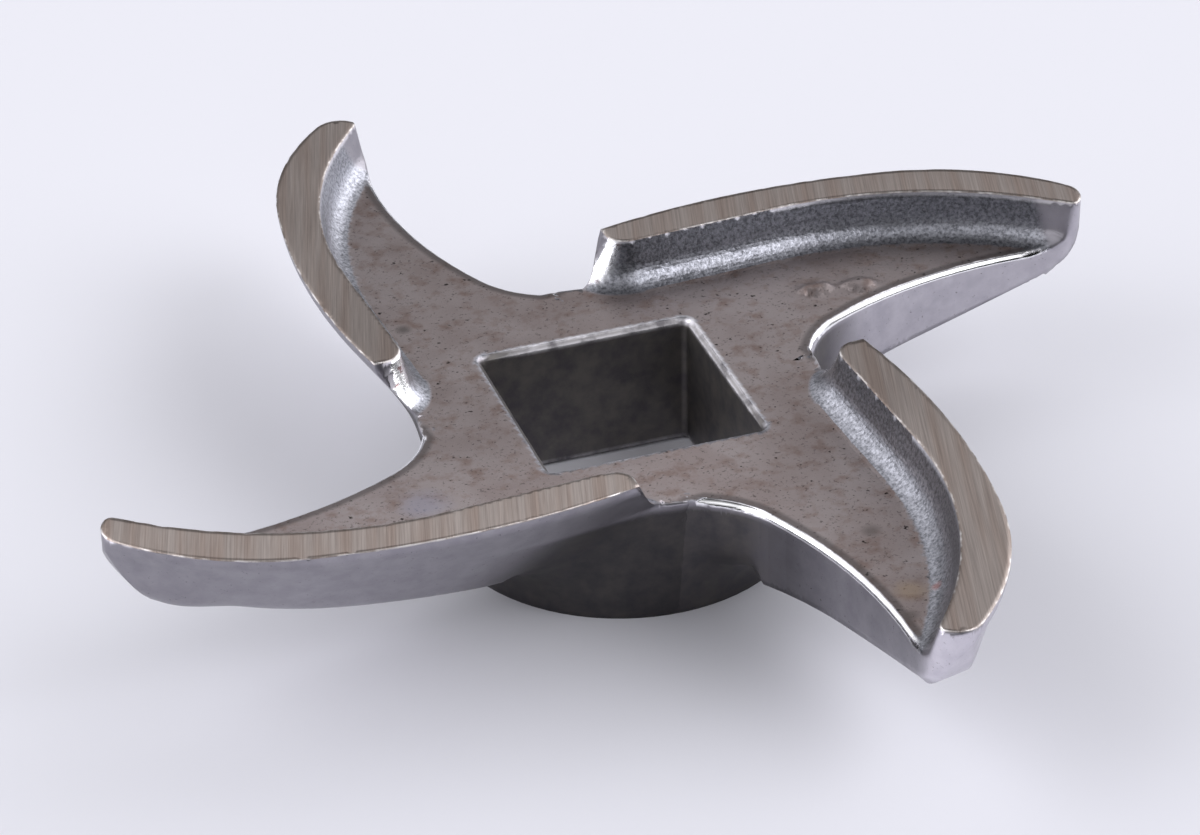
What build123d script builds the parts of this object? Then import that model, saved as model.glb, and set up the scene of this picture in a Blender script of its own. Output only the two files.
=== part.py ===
"""Four-armed meat grinder knife: one casting with ground lands, square drive hole and flared hub."""
import os
from math import atan2, cos, degrees, radians, sin

from build123d import *

os.makedirs("parts", exist_ok=True)

# Sizes in mm and degrees. The knife stands on its hub, +Z up, arm one points along +X.
swept_diameter = 62.0
land_height = 10.5          # ground land above the hub's bottom
web_height = 7.9            # top of the web and the hub above the hub's bottom
arm_step = 90.0             # angle from one arm to the next

hub_diameter = 19.7         # at the bottom
hub_draft = 9.6
square_size = 12.0          # across flats
square_corner = 0.35
rim_chamfer = 0.25

heel_x = 3.05               # outer corner of the land, next to the crotch
heel_y = 12.6
heel_heading = 13.2         # direction of the cutting edge there
lead_root_radius = 44.4
lead_root_turn = 23.0
nose_radius = 1.5
nose_angle = 14.1           # where the nose lies, seen from the axis

trail_root_x = 11.15        # where the trailing wall leaves the hub
trail_root_y = -0.1
trail_root_heading = 73.0
trail_root_radius = 5.4
trail_root_turn = 46.5

land_width = 2.3
land_heel_width = 2.0
land_tip_width = 2.0
heel_round = 1.15           # plan radius of the land's inner end
land_draft = 15.0           # slope of the land's wall
pocket_fillet = 1.5         # from the land's wall to the web

edge_band = 0.45            # upright band below the cutting edge
band_blend = 1.2            # round from the band to the sloping face
face_slope = 34.0           # leading face from upright
face_tip_slope = 8.0        # and at the tip
foot_root_turn = 19.0       # the face grows steeper from where its foot has turned this far
keel_round = 2.4            # from the leading face to the underside
face_overrun = 3.29734      # the tool for the face goes on this far past the tip

dish_root_height = 3.05     # underside where it leaves the hub
dish_bend_run = 7.85        # the underside turns up over this run, then over the next one to the tip
dish_tip_run = 3.4
dish_slope = 6.5
dish_bend_slope = 22.0
dish_tip_slope = 75.0

crotch_radius = 1.8
crotch_reach = 11.13        # least distance of the crotch from the axis, at web height
crotch_angle = 88.3
crotch_draft = 9.0
rim_round = 0.4             # polished round on the web's trailing edge


def ray(angle, length=1.0):
    return Vector(cos(radians(angle)) * length, sin(radians(angle)) * length)


def right_arc(start, heading, radius, turn):
    """An arc that turns right, as (edge, centre, end, end heading)."""
    centre = start + ray(heading - 90, radius)
    end = centre + ray(heading + 90 - turn, radius)
    middle = centre + ray(heading + 90 - turn / 2, radius)
    return ThreePointArc(start, middle, end), centre, end, heading - turn


def arc_through(start, heading, end):
    """A right arc from start, leaving on the heading, that ends at end."""
    chord = end - start
    half = heading - degrees(atan2(chord.Y, chord.X))
    return right_arc(start, heading, chord.length / 2 / sin(radians(half)), 2 * half)


def arc_to_nose(start, heading, side):
    """Radius and turn of a right arc from start that meets the nose circle, inside (1) or outside (-1)."""
    away = nose_centre - start
    across = away.dot(ray(heading - 90))
    radius = (away.length**2 - nose_radius**2) / (2 * (across - side * nose_radius))
    centre = start + ray(heading - 90, radius)
    seen = nose_centre - centre
    turn = heading + 90 - degrees(atan2(seen.Y, seen.X))
    return radius, turn % 360


swept_radius = swept_diameter / 2
nose_centre = ray(nose_angle, swept_radius - nose_radius)
heel = Vector(heel_x, heel_y)

# Leading edge, from the heel out to the nose
lead_root = right_arc(heel, heel_heading, lead_root_radius, lead_root_turn)
lead_outer_radius, lead_outer_turn = arc_to_nose(lead_root[2], lead_root[3], 1)
lead_outer = right_arc(lead_root[2], lead_root[3], lead_outer_radius, lead_outer_turn)

# Trailing edge, from the hub out to the nose
trail_start = Vector(trail_root_x, trail_root_y)
trail_root = right_arc(trail_start, trail_root_heading, trail_root_radius, trail_root_turn)
trail_outer_radius, trail_outer_turn = arc_to_nose(trail_root[2], trail_root[3], -1)
trail_outer = right_arc(trail_root[2], trail_root[3], trail_outer_radius, trail_outer_turn)
print("leading outer radius", round(lead_outer_radius, 2), "turn", round(lead_outer_turn, 2))
print("trailing outer radius", round(trail_outer_radius, 2), "turn", round(trail_outer_turn, 2))


def arm_outline():
    """Plan of one arm, with its root buried in the hub."""
    nose_side = nose_centre + ray((lead_outer[3] + trail_outer[3]) / 2, nose_radius)
    nose = ThreePointArc(lead_outer[2], nose_side, trail_outer[2])
    heel_in = heel - ray(heel_heading, heel_x * 0.9)
    root = [heel_in, Vector(0, 0), trail_start]
    edges = [lead_root[0], lead_outer[0], nose, trail_outer[0], trail_root[0]]
    edges += [Line(heel, root[0]), Line(root[0], root[1]), Line(root[1], root[2])]
    return make_face(Wire(edges))


def land_path():
    """Inner edge of the land, from outside the heel to past the nose."""
    inner_heel = heel + ray(heel_heading, heel_round) + ray(heel_heading - 90, land_heel_width)
    crest = lead_root[1] + ray(90, lead_root_radius - land_width)
    run = crest - inner_heel
    heading = degrees(atan2(run.Y, run.X))
    tip = lead_outer[2] + ray(lead_outer[3] - 90, land_tip_width)
    chord = tip - crest
    half = heading - degrees(atan2(chord.Y, chord.X))
    bend = right_arc(crest, heading, chord.length / 2 / sin(radians(half)), 2 * half)
    corner_centre = inner_heel + ray(heading + 90, heel_round)
    corner_start = corner_centre + ray(heading + 180, heel_round)
    corner_middle = corner_centre + ray(heading - 135, heel_round)
    corner = ThreePointArc(corner_start, corner_middle, inner_heel)
    outside = corner_start + ray(heading + 90, land_heel_width + 4)
    beyond = bend[2] + ray(bend[3], 8)
    return outside, corner, Line(inner_heel, crest), bend[0], beyond, corner_start, bend[2]


def top_form():
    """The web with the land standing on it, before the arm's sides are cut."""
    outside, corner, straight, bend, beyond, corner_start, bend_end = land_path()
    far = swept_radius + 8
    edges = [Line(outside, corner_start), corner, straight, bend, Line(bend_end, beyond)]
    edges += [Line(beyond, Vector(far, beyond.Y)), Line(Vector(far, beyond.Y), Vector(far, far))]
    edges += [Line(Vector(far, far), Vector(outside.X, far)), Line(Vector(outside.X, far), outside)]
    upward = (Align.CENTER, Align.CENTER, Align.MIN)
    slab = Pos(far / 2, far / 2 - 6, web_height - 6) * Box(far + 30, far + 30, 6, align=upward)
    depth = land_height - web_height + 1
    land = Pos(0, 0, land_height) * extrude(make_face(Wire(edges)), -depth, taper=-land_draft)
    form = slab + land
    foot = []
    for edge in form.edges():
        middle = edge.position_at(0.5)
        if abs(middle.Z - web_height) > 0.001 or abs(edge.position_at(0).Z - web_height) > 0.001:
            continue
        if -1 < middle.X < far - 0.1 and -6 < middle.Y < far - 0.1:
            foot.append(edge)
    return fillet(foot, min(pocket_fillet, 0.9 * (land_height - web_height)))


def outside_of(start, root, outer):
    """Closed outline of everything beyond a leading edge."""
    far = swept_radius + 12
    back = start - ray(heel_heading, heel_x * 2)
    side = Vector(far, outer[2].Y - 6)
    corners = [outer[2], side, Vector(far, far), Vector(back.X, far), back, start]
    lines = [Line(first, second) for first, second in zip(corners, corners[1:])]
    return Wire([root[0], outer[0]] + lines)


def face_tool():
    """Cuts the leading side of an arm: an upright band, then a face that leans in below it."""
    past_tip = degrees(face_overrun / lead_outer_radius)
    band_foot = land_height - edge_band
    setback = (band_foot + 1) * sin(radians(face_slope)) / cos(radians(face_slope))
    tip_setback = (band_foot + 1) * sin(radians(face_tip_slope)) / cos(radians(face_tip_slope))
    upper_outer = right_arc(lead_root[2], lead_root[3], lead_outer_radius, lead_outer_turn + past_tip)
    upper = make_face(outside_of(heel, lead_root, upper_outer))
    foot = heel + ray(heel_heading - 90, setback)
    foot_root = right_arc(foot, heel_heading, lead_root_radius - setback, foot_root_turn)
    foot_end = upper_outer[2] + ray(upper_outer[3] - 90, tip_setback)
    foot_outer = arc_through(foot_root[2], foot_root[3], foot_end)
    lower = make_face(outside_of(foot, foot_root, foot_outer))
    tool = loft([Pos(0, 0, band_foot) * upper, Pos(0, 0, -1) * lower], ruled=True)
    tool += Pos(0, 0, band_foot) * extrude(upper, 3)
    return fillet(band_edges(tool, band_foot), band_blend)


def band_edges(tool, level):
    """Edges of the cutting tool where the band meets the leaning face."""
    edges = []
    for edge in tool.edges():
        middle = edge.position_at(0.5)
        if abs(middle.Z - level) + abs(edge.position_at(0).Z - level) > 0.001:
            continue
        if Vector(middle.X, middle.Y).length < swept_radius:
            edges.append(edge)
    return edges


def dish_arcs(turned_up):
    """Profile of the underside, with or without its turn up to the tip."""
    slopes = [radians(dish_slope), radians(dish_bend_slope)]
    runs = [dish_bend_run]
    if turned_up:
        slopes.append(radians(dish_tip_slope))
        runs.append(dish_tip_run + 0.25)
    flat = swept_radius - dish_bend_run - dish_tip_run
    rise = (flat - hub_diameter / 2) * sin(slopes[0]) / cos(slopes[0])
    points = [Vector(flat, dish_root_height + rise)]
    arcs = []
    for first, last, run in zip(slopes, slopes[1:], runs):
        radius = run / (sin(last) - sin(first))
        centre = points[-1] + Vector(-sin(first), cos(first)) * radius
        middle = (first + last) / 2
        arc_middle = centre + Vector(sin(middle), -cos(middle)) * radius
        points.append(centre + Vector(sin(last), -cos(last)) * radius)
        arcs.append(ThreePointArc(points[-2], arc_middle, points[-1]))
    return arcs, points, slopes


def dish_tool(turned_up):
    """Everything under the arms."""
    arcs, points, slopes = dish_arcs(turned_up)
    far = swept_radius + 6
    rise = min((far - 1 - points[-1].X) * sin(slopes[-1]) / cos(slopes[-1]), land_height)
    top = points[-1] + Vector(rise * cos(slopes[-1]) / sin(slopes[-1]), rise)
    inner = Vector(0, points[0].Y - points[0].X * sin(slopes[0]) / cos(slopes[0]))
    outline = [top, Vector(far, top.Y), Vector(far, -2), Vector(0, -2), inner, points[0]]
    lines = [Line(points[-1], top)] + [Line(first, last) for first, last in zip(outline, outline[1:])]
    return revolve(Plane.XZ * make_face(Wire(arcs + lines)), Axis.Z, 360)


def keel(body):
    """Edges between the leading face and the underside."""
    face_edges = []
    under_edges = []
    for face in body.faces():
        tilt = face.normal_at().Z
        if -0.75 < tilt < -0.15:
            face_edges += face.edges()
        elif tilt < -0.85:
            under_edges += face.edges()
    shared = []
    for edge in face_edges:
        middle = edge.position_at(0.5)
        if any((middle - other.position_at(0.5)).length < 0.001 for other in under_edges):
            shared.append(edge)
    return shared


def trailing_rim(body):
    """Edges of the web along the trailing side."""
    rim = []
    for edge in body.edges():
        middle = edge.position_at(0.5)
        if abs(middle.Z - web_height) + abs(edge.position_at(0).Z - web_height) > 0.001:
            continue
        for _, centre, end, _ in (trail_root, trail_outer):
            reach = Vector(middle.X - centre.X, middle.Y - centre.Y).length
            if abs(reach - (end - centre).length) < 0.01:
                rim.append(edge)
    return rim


def arm():
    body = extrude(arm_outline(), land_height) - face_tool() - dish_tool(False)
    body = fillet(keel(body), keel_round)
    body = (body & top_form()) - dish_tool(True)
    return fillet(trailing_rim(body), rim_round)


def crotch_tool():
    """Leaning round cutter for the hollow between two arms."""
    middle = ray(crotch_angle, crotch_reach + crotch_radius) + Vector(0, 0, web_height)
    lean = ray(crotch_angle, sin(radians(crotch_draft))) + Vector(0, 0, cos(radians(crotch_draft)))
    plane = Plane(origin=middle - lean * web_height, z_dir=lean)
    return extrude(plane * Circle(crotch_radius), web_height + 4)


def around(thing):
    return [Rot(0, 0, arm_step * turn) * thing for turn in range(4)]


def hub():
    flare = web_height * sin(radians(hub_draft)) / cos(radians(hub_draft))
    radius = hub_diameter / 2
    return Pos(0, 0, web_height / 2) * Cone(radius, radius + flare, web_height)


def square_hole():
    square = RectangleRounded(square_size, square_size, square_corner)
    hole = Pos(0, 0, -1) * extrude(square, web_height + 2)
    for height, up in ((0, 1), (web_height, -1)):
        rim_size = square_size + 2 * rim_chamfer
        rim = RectangleRounded(rim_size, rim_size, square_corner + rim_chamfer)
        hole += loft([Pos(0, 0, height) * rim, Pos(0, 0, height + up * rim_chamfer) * square])
    return hole


knife = hub() + around(arm())
knife = knife - around(crotch_tool()) - square_hole()
knife.label = "grinder_knife"
print("knife", knife.is_valid, round(knife.volume, 1), len(knife.faces()), len(knife.solids()))
export_step(knife, "parts/grinder_knife.step")
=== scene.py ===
import math

import bmesh
import bpy
import numpy as np
from mathutils import Matrix, Vector, noise
from mathutils.kdtree import KDTree


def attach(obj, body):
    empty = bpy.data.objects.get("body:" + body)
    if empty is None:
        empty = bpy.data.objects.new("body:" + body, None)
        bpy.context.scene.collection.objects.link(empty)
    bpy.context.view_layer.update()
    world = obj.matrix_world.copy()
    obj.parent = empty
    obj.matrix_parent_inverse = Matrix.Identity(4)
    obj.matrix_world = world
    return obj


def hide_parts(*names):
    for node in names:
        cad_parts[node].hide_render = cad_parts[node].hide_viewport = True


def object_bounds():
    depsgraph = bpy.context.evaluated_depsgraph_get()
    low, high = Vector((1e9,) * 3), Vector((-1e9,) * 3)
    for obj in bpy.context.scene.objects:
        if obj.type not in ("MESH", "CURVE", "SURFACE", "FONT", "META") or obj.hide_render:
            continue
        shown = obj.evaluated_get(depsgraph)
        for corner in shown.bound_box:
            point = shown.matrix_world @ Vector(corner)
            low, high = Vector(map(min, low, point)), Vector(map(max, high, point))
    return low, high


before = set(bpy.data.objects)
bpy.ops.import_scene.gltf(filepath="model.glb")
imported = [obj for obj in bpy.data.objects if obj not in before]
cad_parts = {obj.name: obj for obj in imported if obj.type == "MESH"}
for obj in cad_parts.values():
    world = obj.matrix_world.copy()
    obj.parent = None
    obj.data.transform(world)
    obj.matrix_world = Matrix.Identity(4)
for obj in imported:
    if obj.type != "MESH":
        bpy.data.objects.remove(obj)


def boundsList():
    low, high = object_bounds()
    return [list(low), list(high)]


cadBox = boundsList()
mm = 0.001


# ---- colours and shader nodes ----

def linear(code):
    channels = [int(code[i:i + 2], 16) / 255 for i in (1, 3, 5)]
    return tuple(c / 12.92 if c <= 0.04045 else ((c + 0.055) / 1.055) ** 2.4 for c in channels) + (1.0,)


def add(tree, kind, values=None, **settings):
    node = tree.nodes.new(kind)
    for name, value in settings.items():
        setattr(node, name, value)
    for key, value in (values or {}).items():
        if isinstance(value, bpy.types.NodeSocket):
            tree.links.new(value, node.inputs[key])
        else:
            node.inputs[key].default_value = value
    return node


def maths(tree, operation, *values):
    return add(tree, "ShaderNodeMath", dict(enumerate(values)), operation=operation).outputs[0]


def spread(tree, value, low, high, outLow=0.0, outHigh=1.0):
    node = add(tree, "ShaderNodeMapRange", {0: value, 1: low, 2: high, 3: outLow, 4: outHigh}, clamp=True)
    return node.outputs[0]


def blend(tree, share, first, second):
    node = add(tree, "ShaderNodeMix", {0: share, 6: first, 7: second}, data_type="RGBA")
    return node.outputs[2]


def shade(tree, share, colour, amount):
    node = add(tree, "ShaderNodeMix", {0: share, 6: colour, 7: amount}, data_type="RGBA", blend_type="MULTIPLY")
    return node.outputs[2]


# size is the pattern's real scale in millimetres
def pattern(tree, vector, size, detail=3.0, rough=0.55, warp=0.0):
    node = add(tree, "ShaderNodeTexNoise",
               {"Vector": vector, "Scale": 1000 / size, "Detail": detail, "Roughness": rough,
                "Distortion": warp})
    return node.outputs["Fac"]


# a vector in units of the two lengths in millimetres, for patterns of size one
def stretched(tree, vector, angle, across, along):
    turned = add(tree, "ShaderNodeMapping", {"Vector": vector, "Rotation": (0, 0, -math.radians(angle))})
    return add(tree, "ShaderNodeMapping",
               {"Vector": turned.outputs[0], "Scale": (1 / along, 1 / across, 1 / across)}).outputs[0]


def newMaterial(name):
    material = bpy.data.materials.new(name)
    material.use_nodes = True
    material.node_tree.nodes.clear()
    return material, material.node_tree


# ---- camera ----

camera = {"place": (-0.06393, -0.18490, 0.13103), "target": (-0.000530, 0.001848, 0.005330),
          "roll": -0.95, "lens": 129.1, "sensor": 36.0}


def makeCamera():
    data = bpy.data.cameras.new("camera")
    data.lens = camera["lens"]
    data.sensor_width = camera["sensor"]
    data.clip_start = 0.01
    data.clip_end = 20
    place = Vector(camera["place"])
    forward = (Vector(camera["target"]) - place).normalized()
    right = forward.cross(Vector((0, 0, 1))).normalized()
    up = right.cross(forward)
    roll = math.radians(camera["roll"])
    across = math.cos(roll) * right + math.sin(roll) * up
    above = -math.sin(roll) * right + math.cos(roll) * up
    turn = Matrix((across, above, -forward)).transposed()
    obj = bpy.data.objects.new("camera", data)
    obj.matrix_world = Matrix.Translation(place) @ turn.to_4x4()
    bpy.context.scene.collection.objects.link(obj)
    bpy.context.scene.camera = obj


makeCamera()
print("camera set")


# ---- knife mesh ----

knife = {"edge": 0.48, "quickEdge": 1.2, "halvings": 9, "weld": 2e-6, "crestAngle": 28, "crestStep": 0.08,
         "sharpAngle": 32, "landHeight": 10.5, "landSkin": 0.03, "webHeight": 7.9, "holeReach": 6.6,
         "gap": -1.7}


def cleanCopy(node):
    mesh = node.data.copy()
    work = bmesh.new()
    work.from_mesh(mesh)
    bmesh.ops.remove_doubles(work, verts=work.verts, dist=knife["weld"])
    bmesh.ops.dissolve_degenerate(work, edges=work.edges, dist=knife["weld"])
    bmesh.ops.triangulate(work, faces=work.faces)
    bmesh.ops.recalc_face_normals(work, faces=work.faces)
    work.to_mesh(mesh)
    work.free()
    return mesh


# points along the edges that are sharper than an angle, a step apart
def crestPoints(mesh, angle, step):
    work = bmesh.new()
    work.from_mesh(mesh)
    points = []
    for edge in work.edges:
        if len(edge.link_faces) != 2 or edge.calc_face_angle(0) < math.radians(angle):
            continue
        first, last = edge.verts[0].co / mm, edge.verts[1].co / mm
        count = max(1, int((last - first).length / step))
        for i in range(count + 1):
            points.append(tuple(first.lerp(last, i / count)))
    work.free()
    return np.array(points)


# each vertex's distance to the nearest of the points
def nearest(points, vertices):
    tree = KDTree(len(points))
    for i, point in enumerate(points):
        tree.insert(point, i)
    tree.balance()
    return np.array([tree.find(v)[2] for v in vertices])


# long edges are halved until none is left, so crisp edges stay where they are
def denseMesh(mesh):
    limit = knife["edge"]
    work = bmesh.new()
    work.from_mesh(mesh)
    for _ in range(knife["halvings"]):
        long = [edge for edge in work.edges if edge.calc_length() > limit * mm]
        if not long:
            break
        bmesh.ops.subdivide_edges(work, edges=long, cuts=1)
        bmesh.ops.triangulate(work, faces=[face for face in work.faces if len(face.verts) > 3])
    bmesh.ops.delete(work, geom=[edge for edge in work.edges if not edge.link_faces], context="EDGES")
    dense = bpy.data.meshes.new("dense")
    work.to_mesh(dense)
    work.free()
    print("faults mended", dense.validate(verbose=False))
    return dense


def read(collection, name, width):
    values = np.empty(len(collection) * width, dtype=np.float32)
    collection.foreach_get(name, values)
    return values.reshape(-1, width) if width > 1 else values


def smooth01(value, low, high):
    t = np.clip((value - low) / (high - low), 0, 1)
    return t * t * (3 - 2 * t)


def noiseAt(points, size, seed, octaves=3):
    shift = Vector((seed * 7.31, seed * 3.17, seed * 5.53))
    return np.array([noise.fractal(Vector(p) / size + shift, 0.8, 2.0, octaves) for p in points])


# each point as it would lie on the first arm, with its arm's number and the turn back
def armFrame(points):
    angle = np.degrees(np.arctan2(points[:, 1], points[:, 0]))
    number = np.floor(((angle - knife["gap"]) % 360) / 90).astype(int) % 4
    turn = -np.radians(90.0 * number)
    return turned(points, turn), number, turn


def turned(vectors, angle):
    out = vectors.copy()
    out[:, 0] = np.cos(angle) * vectors[:, 0] - np.sin(angle) * vectors[:, 1]
    out[:, 1] = np.sin(angle) * vectors[:, 0] + np.cos(angle) * vectors[:, 1]
    return out


def surfaceNormals(mesh, positions):
    mesh.vertices.foreach_set("co", (positions * mm).astype(np.float32).ravel())
    mesh.update()
    return read(mesh.vertex_normals, "vector", 3)


def store(mesh, name, values):
    layer = mesh.attributes.new(name, "FLOAT", "POINT")
    layer.data.foreach_set("value", values.astype(np.float32))


# moves each point towards the mean of its neighbours, as far as its weight says
def softened(points, links, weight, rounds):
    first, last = links
    count = np.bincount(np.concatenate([first, last]), minlength=len(points))[:, None]
    for _ in range(rounds):
        total = np.zeros_like(points)
        for axis in range(3):
            total[:, axis] = np.bincount(first, points[last, axis], len(points))
            total[:, axis] += np.bincount(last, points[first, axis], len(points))
        points = points + (total / count - points) * weight[:, None]
    return points


# one between low and high, falling to nothing over the edge on both sides
def window(value, low, high, edge):
    return smooth01(value, low - edge, low) * (1 - smooth01(value, high, high + edge))


source = cleanCopy(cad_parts["grinder_knife"])
crests = crestPoints(source, knife["crestAngle"], knife["crestStep"])
dense = denseMesh(source)
points = read(dense.vertices, "co", 3) / mm
ends = read(dense.edges, "vertices", 2).astype(int)
links = (ends[:, 0], ends[:, 1])
landHeight, webHeight = knife["landHeight"], knife["webHeight"]
print("dense mesh", len(points), "vertices", len(dense.polygons), "faces")

landCrest = crests[crests[:, 2] > landHeight - knife["landSkin"]]
holeCrest = crests[np.abs(crests[:, :2]).max(axis=1) < knife["holeReach"]]
landGap = nearest(landCrest, points)
holeGap = nearest(holeCrest, points)


# ---- knife form ----

# lengths in mm and angles in degrees, as low, high and the width of the edge
form = {"valleyRadius": (10.6, 13.2, 1.2), "valleyAngle": (52, 80, 8), "valleyHeight": (4.2, 6.8, 1.0),
        "crotchRadius": (10.4, 13.0, 0.8), "crotchHeight": (1.8, 6.4, 0.8), "softRounds": 70, "softShare": 0.9,
        "tipFill": 0.6, "tipPush": (0.15, 0.55, -0.8), "tipStart": (23.5, 27.5), "tipHeight": (6.8, 9.6),
        "heelLean": 0.5, "heelAcross": (0.2, 3.2, 1.6), "heelReach": (8.8, 10.4), "heelFoot": (6.4, 7.7),
        "heelDrop": 2.4}
radius = np.hypot(points[:, 0], points[:, 1])
local, armNumber, turn = armFrame(points)

# the valley between hub and leading face and the hollow between two arms have no crease
free = smooth01(landGap, 0.25, 0.6) * smooth01(points[:, 2], 0.15, 0.5)
angle = np.degrees(np.arctan2(local[:, 1], local[:, 0]))
valley = (window(radius, *form["valleyRadius"]) * window(angle, *form["valleyAngle"])
          * window(points[:, 2], *form["valleyHeight"]))
crotch = window(radius, *form["crotchRadius"]) * window(points[:, 2], *form["crotchHeight"])
weight = form["softShare"] * np.maximum(valley, crotch) * free
points = softened(points, links, weight, form["softRounds"])

localNormal = turned(surfaceNormals(dense, points), turn)
local = turned(points, turn)
height = points[:, 2]
# over zero on the leading side of an arm, under zero on its trailing side
outward = localNormal[:, 0] * (local[:, 0] - 13.0) * 0.05 + localNormal[:, 1]

# the tip's lower leading side is fuller than the turned underside leaves it
fill = smooth01(local[:, 0], *form["tipStart"]) * (1 - smooth01(height, *form["tipHeight"]))
fill = fill * smooth01(outward, 0.0, 0.5)
push = np.column_stack([fill * share for share in form["tipPush"]]) * form["tipFill"]
points = points + turned(push, -turn)

# the heel's end wall spreads towards its foot
lean = smooth01(landHeight - height, 0.0, form["heelDrop"]) * smooth01(height, *form["heelFoot"])
lean = lean * window(local[:, 0], *form["heelAcross"]) * smooth01(local[:, 1], *form["heelReach"])
push = np.column_stack([-lean, lean * 0, lean * 0]) * form["heelLean"]
points = points + turned(push, -turn)


# ---- knife regions ----

normals = surfaceNormals(dense, points)
localNormal = turned(normals, turn)
upward = localNormal[:, 2]
isLand = (height > landHeight - knife["landSkin"]).astype(float)
inHole = ((np.abs(points[:, :2]).max(axis=1) < 6.4) & (upward < 0.8)).astype(float)
notHole = 1 - inHole
isPocket = ((height > webHeight - 0.02) & (outward < 0.25) & (isLand < 0.5) & (upward < 0.97)).astype(float)
isPocket *= 1 - smooth01(radius, 28.3, 28.7)
isWeb = (1 - smooth01(np.abs(height - webHeight), 0.05, 0.35)) * smooth01(upward, 0.9, 0.98)
isHeel = smooth01(-localNormal[:, 0], 0.35, 0.7) * isPocket * (local[:, 0] < 5)
isWall = isPocket * (1 - isHeel)
isFillet = isPocket * window(upward, 0.35, 0.9, 0.15) * (1 - isHeel)
# the polished rim round at the web's edge, painted near-white further down as a highlight
isRim = window(height, 7.5, 7.86, 0.06) * window(upward, 0.25, 0.85, 0.15)
isRim = isRim * notHole * smooth01(radius, 10.4, 11)
# near the hub under the web: the cast flank and the hollows between arms, dark steel with painted shade
isFlank = (1 - smooth01(radius, 12.5, 17.0)) * notHole * (1 - smooth01(height, 7.2, 7.8)) * (upward < 0.6)
isLead = smooth01(outward, 0.2, 0.6) * (1 - isLand) * (radius > 9) * notHole
isTrail = (1 - smooth01(outward, -0.1, 0.3)) * (upward < 0.5) * notHole * (1 - isPocket) * (radius > 9.5)
isNose = smooth01(radius, 27.5, 29.5) * (1 - isWeb) * (1 - isPocket) * (1 - isLand)
right, back, left, front = (armNumber == number for number in range(4))

# painted light and shade: how much brighter or darker the steel is painted than its region's own colour,
# brighter at the left front and darker at the back, with painted highlights and painted shade on single sides,
# walls, fillets, heels and a nose
paintedLightAmounts = {"leftFront": 0.30, "far": 0.12, "rightTrail": 0.45, "frontTrail": 0.66, "leftTip": 0.12, "fillet": 0.8,
         "rightWall": 0.30, "frontWall": 0.38, "backHeel": 0.8, "rightHeel": 0.2, "frontNose": 0.8,
         "landHeel": 0.18}
paintedLight = np.ones(len(points))
# painted light: brighter at the left front, and painted shade darker towards the back
leftFront = (1 - smooth01(points[:, 0], 0, 9)) * (1 - smooth01(points[:, 1], -9, -1))
paintedLight += paintedLightAmounts["leftFront"] * leftFront * (1 - isLead)
paintedLight -= paintedLightAmounts["far"] * smooth01(points[:, 1], 4, 22)
# a painted reflection brightens the right arm's trailing side; painted shade darkens the front arm's trailing
# side near its root and the left arm's leading side towards its tip
paintedLight += paintedLightAmounts["rightTrail"] * isTrail * right
paintedLight -= paintedLightAmounts["frontTrail"] * isTrail * front * (1 - smooth01(radius, 15, 21)) * smooth01(radius, 13, 16)
paintedLight -= paintedLightAmounts["leftTip"] * isLead * left * smooth01(radius, 23, 27)
# painted highlights on the fillets, the heel walls and the front nose; painted shade on the right and front
# walls and near the hub on the back and front lands
paintedLight += paintedLightAmounts["fillet"] * isFillet
paintedLight -= isWall * (paintedLightAmounts["rightWall"] * right + paintedLightAmounts["frontWall"] * front)
paintedLight += isHeel * (paintedLightAmounts["backHeel"] * back + paintedLightAmounts["rightHeel"] * right)
paintedLight += paintedLightAmounts["frontNose"] * isNose * front
paintedLight -= paintedLightAmounts["landHeel"] * isLand * (armNumber % 2) * (1 - smooth01(radius, 14, 20))

# the hole's front-left rim is kept out of its pale worn edge and painted highlight
holeGap = holeGap + 0.2 * (1 - smooth01(points[:, 0] + points[:, 1], 0.5, 3.0))
rimGap = nearest(points[isRim > 0.55], points)
masks = {"paintedLight": paintedLight, "inHole": inHole, "isWeb": isWeb, "isPocket": isPocket, "isHeel": isHeel, "isRim": isRim,
         "isFlank": isFlank, "landGap": landGap, "holeGap": holeGap, "rimGap": rimGap}
print("masks ready")


# ---- knife relief ----

# plain raised pips on one web, low swells on what is cast and nicks along the land's edges
relief = {"swell": 0.03, "swellSize": 2.6, "grain": 0.012, "grainSize": 0.7, "holeSwell": 0.02,
          "chip": 0.05, "chipSize": 0.8, "chipStart": 0.15, "chipReach": 0.3, "pipHeight": 0.32,
          "pips": ((13.8, 6.3, 1.0, 0.55), (16.2, 5.9, 0.95, 0.6))}
castSwell = noiseAt(points, relief["swellSize"], 1)
castGrain = noiseAt(points, relief["grainSize"], 2)
cast = np.clip(isWeb + isWall * 0.7, 0, 1) * smooth01(landGap, 0.1, 0.6)
push = cast * (relief["swell"] * castSwell + relief["grain"] * castGrain)
push += inHole * smooth01(holeGap, 0.3, 1.0) * relief["holeSwell"] * castSwell
nick = np.minimum(0, noiseAt(points, relief["chipSize"], 3, 2) + relief["chipStart"])
push += (1 - smooth01(landGap, 0.0, relief["chipReach"])) * nick * relief["chip"] * (1 + left)
for x, y, long, wide in relief["pips"]:
    across = ((local[:, 0] - x) / long) ** 2 + ((local[:, 1] - y) / wide) ** 2
    push += relief["pipHeight"] * (1 - smooth01(across, 0.35, 1.5)) * isWeb * right
points = points + normals * push[:, None]
points = np.clip(points, np.array(cadBox[0]) / mm, np.array(cadBox[1]) / mm)
dense.vertices.foreach_set("co", (points * mm).astype(np.float32).ravel())
dense.polygons.foreach_set("use_smooth", [True] * len(dense.polygons))
dense.set_sharp_from_angle(angle=math.radians(knife["sharpAngle"]))
dense.update()
for name, values in masks.items():
    store(dense, name, values)


# ---- steel ----

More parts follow.
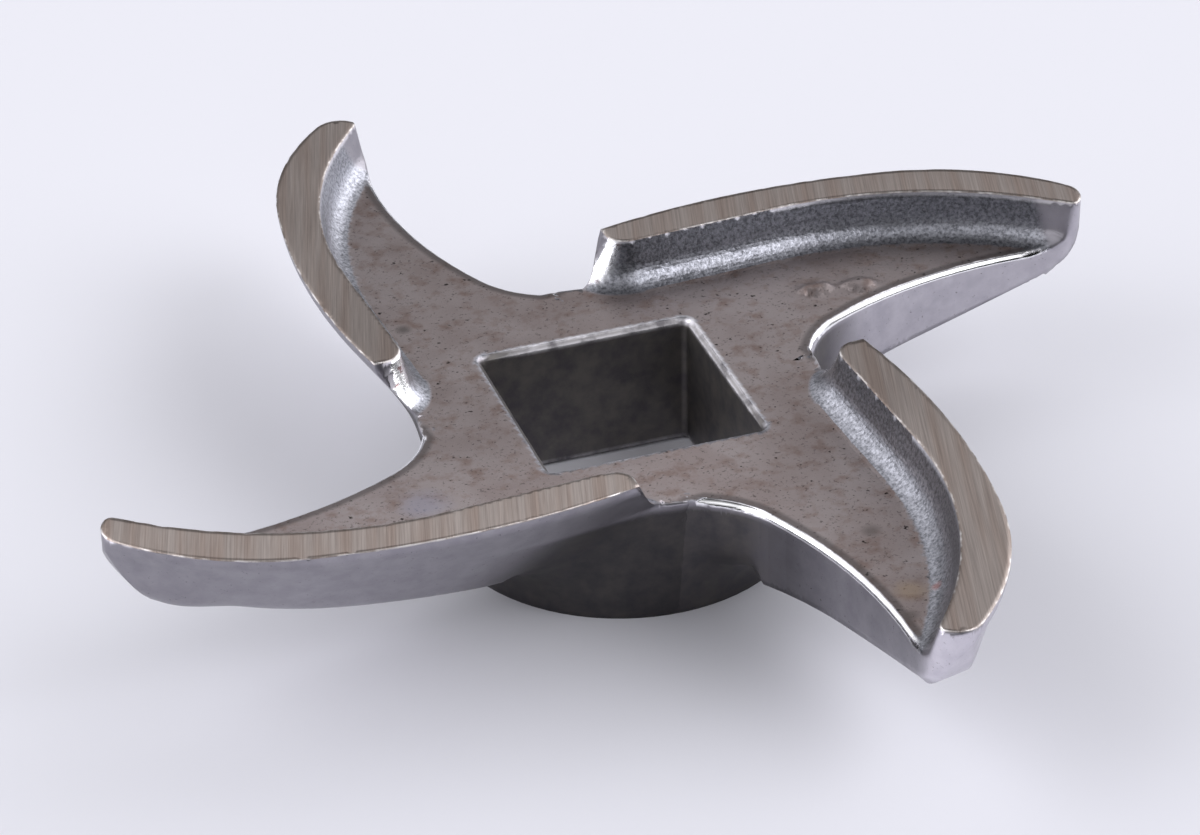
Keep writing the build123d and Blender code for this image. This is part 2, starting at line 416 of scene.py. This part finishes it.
# pattern sizes in mm, the grinding direction in degrees; spots as place, size, colour and share
steel = {"grinding": 74.0, "lines": (0.10, 6.0), "broad": (0.8, 16.0), "streak": (0.5, 3.0),
         "blotch": 4.5, "mottle": 1.3, "grain": 0.19, "speck": 0.45, "landFrom": (10.42, 10.46),
         "spots": ((7.4, -22.6, 7.9, 1.0, "#a8906c", 0.35), (8.8, -23.0, 7.9, 0.4, "#a0584b", 0.6),
                   (-9.0, 10.3, 7.9, 0.5, "#57524f", 0.7), (-13.1, -6.7, 7.9, 1.5, "#9094aa", 0.35),
                   (-23.6, -8.6, 6.6, 0.5, "#6f7cc0", 0.6), (-12.6, 3.0, 7.9, 0.5, "#6a625e", 0.6),
                   (7.6, -17.0, 7.9, 0.6, "#5f5855", 0.6), (6.6, -24.6, 7.9, 0.5, "#5f5855", 0.6))}
roughness = {"bare": 0.34, "isWeb": 0.45, "isFlank": 0.5, "isPocket": 0.33, "isHeel": 0.14, "inHole": 0.5,
             "isRim": 0.16, "land": 0.4}


def grey(value):
    return (value, value, value, 1)


def ranged(tree, value, low, high, first, last):
    return blend(tree, spread(tree, value, low, high), linear(first), linear(last))


def darkened(tree, value, low, high, colour, code):
    return shade(tree, spread(tree, value, low, high), colour, linear(code))


def along(tree, place, kind, detail, rough):
    return pattern(tree, stretched(tree, place, steel["grinding"], *steel[kind]), 1, detail, rough)


def steelMaterial():
    material, tree = newMaterial("castSteel")
    place = add(tree, "ShaderNodeTexCoord").outputs["Object"]
    height = maths(tree, "MULTIPLY", add(tree, "ShaderNodeSeparateXYZ", {0: place}).outputs[2], 1000.0)
    mask = {name: add(tree, "ShaderNodeAttribute", attribute_name=name).outputs["Fac"] for name in masks}
    land = spread(tree, height, *steel["landFrom"])

    blotch = pattern(tree, place, steel["blotch"], 3, 0.5, 0.3)
    mottle = pattern(tree, place, steel["mottle"], 5, 0.62)
    grain = pattern(tree, place, steel["grain"], 4, 0.65)
    speck = pattern(tree, place, steel["speck"], 2, 0.5)
    lines = along(tree, place, "lines", 3, 0.7)
    broad = along(tree, place, "broad", 2, 0.5)
    streak = along(tree, place, "streak", 2, 0.5)

    bare = ranged(tree, mottle, 0.35, 0.65, "#a5a2a8", "#97949b")
    bare = darkened(tree, grain, 0.36, 0.26, bare, "#8a8580")
    cast = ranged(tree, blotch, 0.38, 0.62, "#9a9190", "#8f8482")
    cast = darkened(tree, mottle, 0.50, 0.70, cast, "#dccdc4")
    cast = darkened(tree, grain, 0.42, 0.28, cast, "#86807e")
    cast = darkened(tree, speck, 0.30, 0.24, cast, "#57504e")
    wall = ranged(tree, grain, 0.35, 0.62, "#626368", "#9b9ca3")
    ground = ranged(tree, lines, 0.28, 0.72, "#877e79", "#aca29c")
    ground = darkened(tree, broad, 0.40, 0.66, ground, "#f0e8e3")
    dark = ranged(tree, mottle, 0.35, 0.65, "#6b686b", "#837f7b")
    # dark cast steel, painted darker still as shade under the arms near the hub
    castFlankAndShade = ranged(tree, mottle, 0.35, 0.65, "#4d4b4e", "#5b5857")
    # the heel's end walls: ground streaks over a near-white painted highlight
    streakedHeelHighlight = darkened(tree, streak, 0.40, 0.30, linear("#efeff2"), "#8a7673")

    # each region covers the ones before it; the rim's near-white is a painted highlight on its polished round
    layers = (("isWeb", cast), ("isFlank", castFlankAndShade), ("isPocket", wall), ("isHeel", streakedHeelHighlight), ("inHole", dark),
              ("isRim", linear("#f3f2f4")))
    colour = bare
    rough = grey(roughness["bare"])
    for name, layer in layers:
        colour = blend(tree, mask[name], colour, layer)
        rough = blend(tree, mask[name], rough, grey(roughness[name]))
    colour = blend(tree, land, colour, ground)
    rough = blend(tree, land, rough, grey(roughness["land"]))

    # a dark band behind the polished rim, a pale worn edge with a painted highlight round the hole's back and
    # right rim, spots and the burr
    band = maths(tree, "MULTIPLY", spread(tree, mask["rimGap"], 0.60, 0.35), mask["isWeb"])
    colour = blend(tree, maths(tree, "MULTIPLY", band, 0.6), colour, linear("#4b4747"))
    wearAndHighlight = spread(tree, mottle, 0.35, 0.55, 0.1, 0.75)
    edge = maths(tree, "MULTIPLY", spread(tree, mask["holeGap"], 0.24, 0.06), wearAndHighlight)
    colour = blend(tree, edge, colour, linear("#d4d2d6"))
    for x, y, z, size, code, amount in steel["spots"]:
        away = add(tree, "ShaderNodeVectorMath", {0: place, 1: (x * mm, y * mm, z * mm)}, operation="DISTANCE")
        away = maths(tree, "ADD", away.outputs["Value"], maths(tree, "MULTIPLY", mottle, size * mm * 0.8))
        spot = spread(tree, away, size * mm * 1.5, size * mm * 0.7, 0.0, amount)
        colour = blend(tree, spot, colour, linear(code))
    # the painted light and shade scales the colour
    colour = add(tree, "ShaderNodeVectorMath", {0: colour, 3: mask["paintedLight"]}, operation="SCALE").outputs[0]
    burr = maths(tree, "MULTIPLY", spread(tree, mask["landGap"], 0.10, 0.03), spread(tree, mottle, 0.45, 0.6))
    colour = blend(tree, burr, colour, linear("#e8e4e2"))

    coarse = maths(tree, "MAXIMUM", mask["isWeb"], mask["isPocket"])
    pits = maths(tree, "MULTIPLY", maths(tree, "ADD", grain, maths(tree, "MULTIPLY", speck, 0.6)), coarse)
    scratches = maths(tree, "MULTIPLY", maths(tree, "MULTIPLY", lines, land), 0.5)
    bump = add(tree, "ShaderNodeBump",
               {"Strength": 0.5, "Distance": 0.05 * mm, "Height": maths(tree, "ADD", pits, scratches)})
    surface = add(tree, "ShaderNodeBsdfPrincipled",
                  {"Base Color": colour, "Metallic": 1.0, "Roughness": rough, "Normal": bump.outputs[0]})
    add(tree, "ShaderNodeOutputMaterial", {"Surface": surface.outputs[0]})
    return material


dense.materials.clear()
dense.materials.append(steelMaterial())
knifeObject = bpy.data.objects.new("groundKnife", dense)
bpy.context.scene.collection.objects.link(knifeObject)
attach(knifeObject, "root")
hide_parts("grinder_knife")
print("knife dressed")


# ---- floor and light ----

stage = {"floor": "#e9e9ef", "size": 6.0, "rough": 0.6, "shine": 0.2}


def makeFloor():
    mesh = bpy.data.meshes.new("floor")
    half = stage["size"] / 2
    corners = [(-half, -half, 0), (half, -half, 0), (half, half, 0), (-half, half, 0)]
    mesh.from_pydata(corners, [], [(0, 1, 2, 3)])
    material, tree = newMaterial("paper")
    surface = add(tree, "ShaderNodeBsdfPrincipled",
                  {"Base Color": linear(stage["floor"]), "Roughness": stage["rough"],
                   "Specular IOR Level": stage["shine"]})
    add(tree, "ShaderNodeOutputMaterial", {"Surface": surface.outputs[0]})
    mesh.materials.append(material)
    obj = bpy.data.objects.new("floor", mesh)
    bpy.context.scene.collection.objects.link(obj)


# soft panels round the knife: elevation, azimuth, half width and brightness; core is where each is even
room = {"tint": "#f9f9fd", "core": 5, "panels": (
    (62, 0, 30, 0.15), (62, -120, 30, 0.43), (38, 0, 28, 1.16), (38, 40, 28, 0.91),
    (38, 80, 28, 0.86), (38, 120, 28, 1.11), (38, 160, 28, 2.6), (38, -160, 28, 0.86),
    (38, -120, 28, 0.53), (38, -40, 28, 3.71), (14, 20, 28, 2.81), (14, 60, 28, 0.05),
    (14, 100, 28, 0.15), (14, 140, 28, 1.08), (14, 180, 28, 2.88), (14, -20, 28, 0.2))}


def makeWorld():
    world = bpy.data.worlds.new("room")
    bpy.context.scene.world = world
    world.use_nodes = True
    tree = world.node_tree
    tree.nodes.clear()
    away = add(tree, "ShaderNodeTexCoord").outputs["Generated"]
    total = None
    for elevation, azimuth, half, amount in room["panels"]:
        level, side = math.radians(elevation), math.radians(azimuth)
        axis = Vector((math.cos(side) * math.cos(level), math.sin(side) * math.cos(level), math.sin(level)))
        facing = add(tree, "ShaderNodeVectorMath", {0: away, 1: axis}, operation="DOT_PRODUCT").outputs["Value"]
        rim, core = math.cos(math.radians(half)), math.cos(math.radians(room["core"]))
        panel = spread(tree, facing, rim, core, 0.0, amount)
        total = panel if total is None else maths(tree, "ADD", total, panel)
    light = add(tree, "ShaderNodeBackground", {"Color": linear(room["tint"]), "Strength": total})
    add(tree, "ShaderNodeOutputWorld", {"Surface": light.outputs[0]})


makeFloor()
makeWorld()

scene = bpy.context.scene
scene.view_settings.view_transform = "Standard"
scene.view_settings.look = "None"
scene.render.film_transparent = False
scene.cycles.max_bounces = 8
print("stage set")
